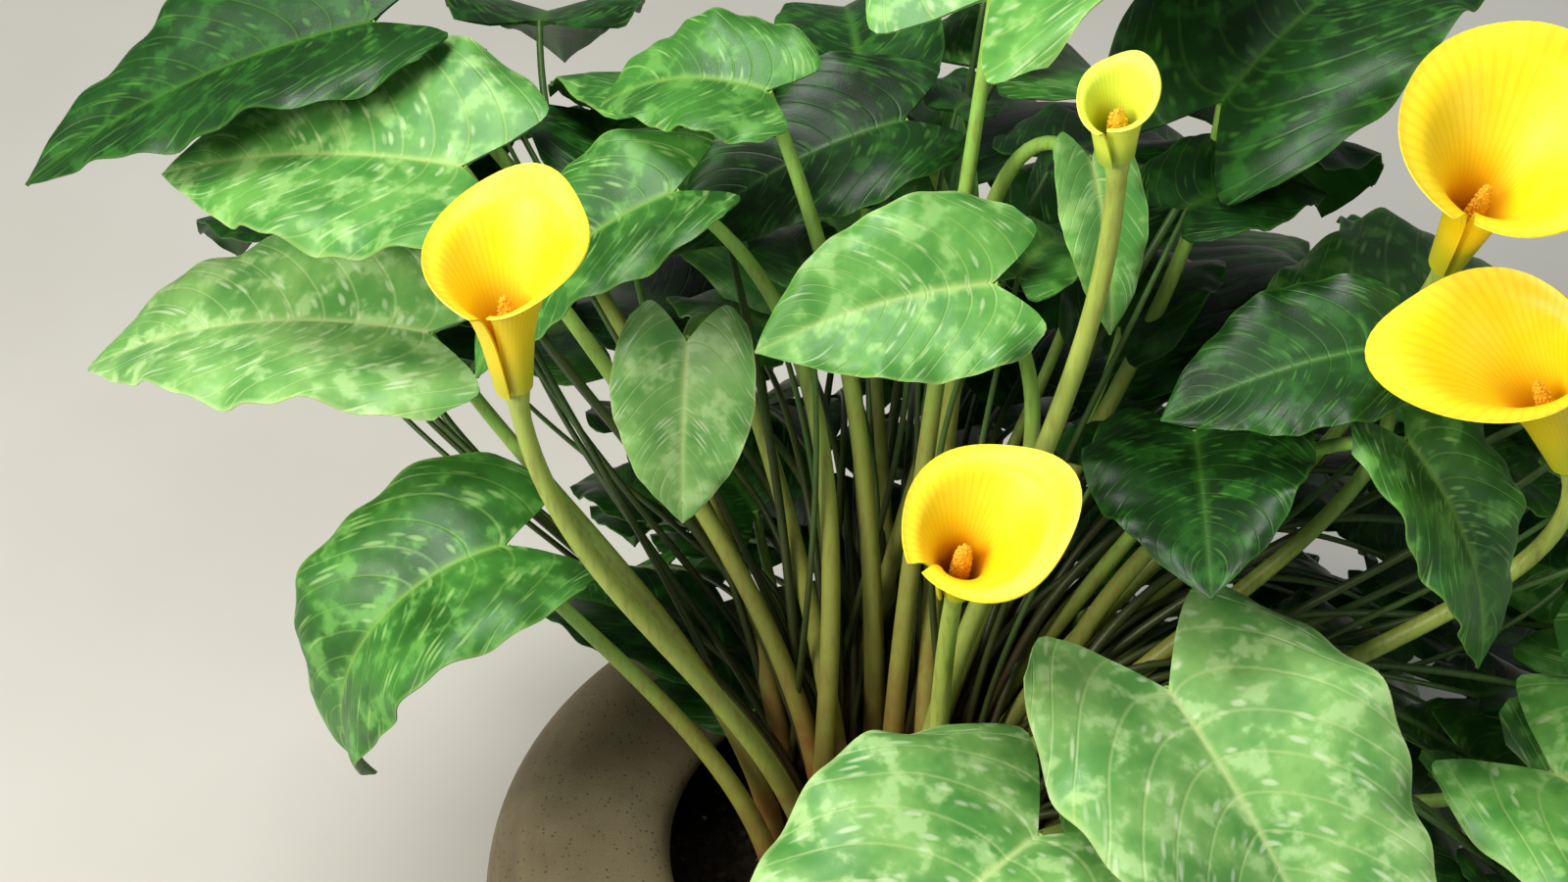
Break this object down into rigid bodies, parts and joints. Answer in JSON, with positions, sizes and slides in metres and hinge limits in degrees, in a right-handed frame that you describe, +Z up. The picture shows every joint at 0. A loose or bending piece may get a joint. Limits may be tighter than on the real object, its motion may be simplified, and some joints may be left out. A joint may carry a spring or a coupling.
{
  "type": "potted calla lily",
  "caption": "Leafy calla lily with yellow trumpet flowers, growing from soil in a round bellied planter that stands on its flat base.",
  "frame": {"origin": "middle of the planter's flat underside", "axes": "+Z up along the planter's axis, -Y towards the viewer of the picture, +X to their right"},
  "size_m": [0.7702, 0.5862, 0.6598],
  "materials": {
    "pot": "matt brown stoneware",
    "soil": "moist dark potting soil, granular",
    "leaf_stem": "satin green stem, browner at the foot",
    "leaf_pale": "satin leaf, pale green with silvery flecks",
    "leaf_fresh": "satin leaf, fresh green with silvery flecks",
    "leaf_green": "satin leaf, mid green with silvery flecks",
    "leaf_deep": "satin leaf, deep green",
    "flower_stalk": "satin green stalk with a yellow spadix",
    "spathe_yellow": "satin petal, warm yellow, orange in the throat",
    "spathe_bud": "satin petal, greenish yellow"
  },
  "bodies": {
    "root": {"pot": "pot", "soil": "soil", "leaf_stem_01": "leaf_stem", "blade_01": "leaf_green", "leaf_stem_02": "leaf_stem", "blade_02": "leaf_pale", "leaf_stem_03": "leaf_stem", "blade_03": "leaf_fresh", "leaf_stem_04": "leaf_stem", "blade_04": "leaf_deep", "leaf_stem_05": "leaf_stem", "blade_05": "leaf_fresh", "leaf_stem_06": "leaf_stem", "blade_06": "leaf_green", "leaf_stem_07": "leaf_stem", "blade_07": "leaf_fresh", "leaf_stem_08": "leaf_stem", "blade_08": "leaf_fresh", "leaf_stem_09": "leaf_stem", "blade_09": "leaf_fresh", "leaf_stem_10": "leaf_stem", "blade_10": "leaf_pale", "leaf_stem_11": "leaf_stem", "blade_11": "leaf_pale", "leaf_stem_12": "leaf_stem", "blade_12": "leaf_fresh", "leaf_stem_13": "leaf_stem", "blade_13": "leaf_fresh", "leaf_stem_14": "leaf_stem", "blade_14": "leaf_green", "leaf_stem_15": "leaf_stem", "blade_15": "leaf_green", "leaf_stem_16": "leaf_stem", "blade_16": "leaf_deep", "leaf_stem_17": "leaf_stem", "blade_17": "leaf_fresh", "leaf_stem_18": "leaf_stem", "blade_18": "leaf_deep", "leaf_stem_19": "leaf_stem", "blade_19": "leaf_deep", "leaf_stem_20": "leaf_stem", "blade_20": "leaf_green", "leaf_stem_21": "leaf_stem", "blade_21": "leaf_deep", "leaf_stem_22": "leaf_stem", "blade_22": "leaf_green", "flower_stalk_01": "flower_stalk", "spathe_01": "spathe_yellow", "flower_stalk_02": "flower_stalk", "spathe_02": "spathe_yellow", "flower_stalk_03": "flower_stalk", "spathe_03": "spathe_bud", "flower_stalk_04": "flower_stalk", "spathe_04": "spathe_yellow", "flower_stalk_05": "flower_stalk", "spathe_05": "spathe_yellow", "shoot_01": "leaf_deep", "shoot_02": "leaf_deep", "shoot_03": "leaf_deep", "shoot_04": "leaf_deep"}
  },
  "joints": []
}
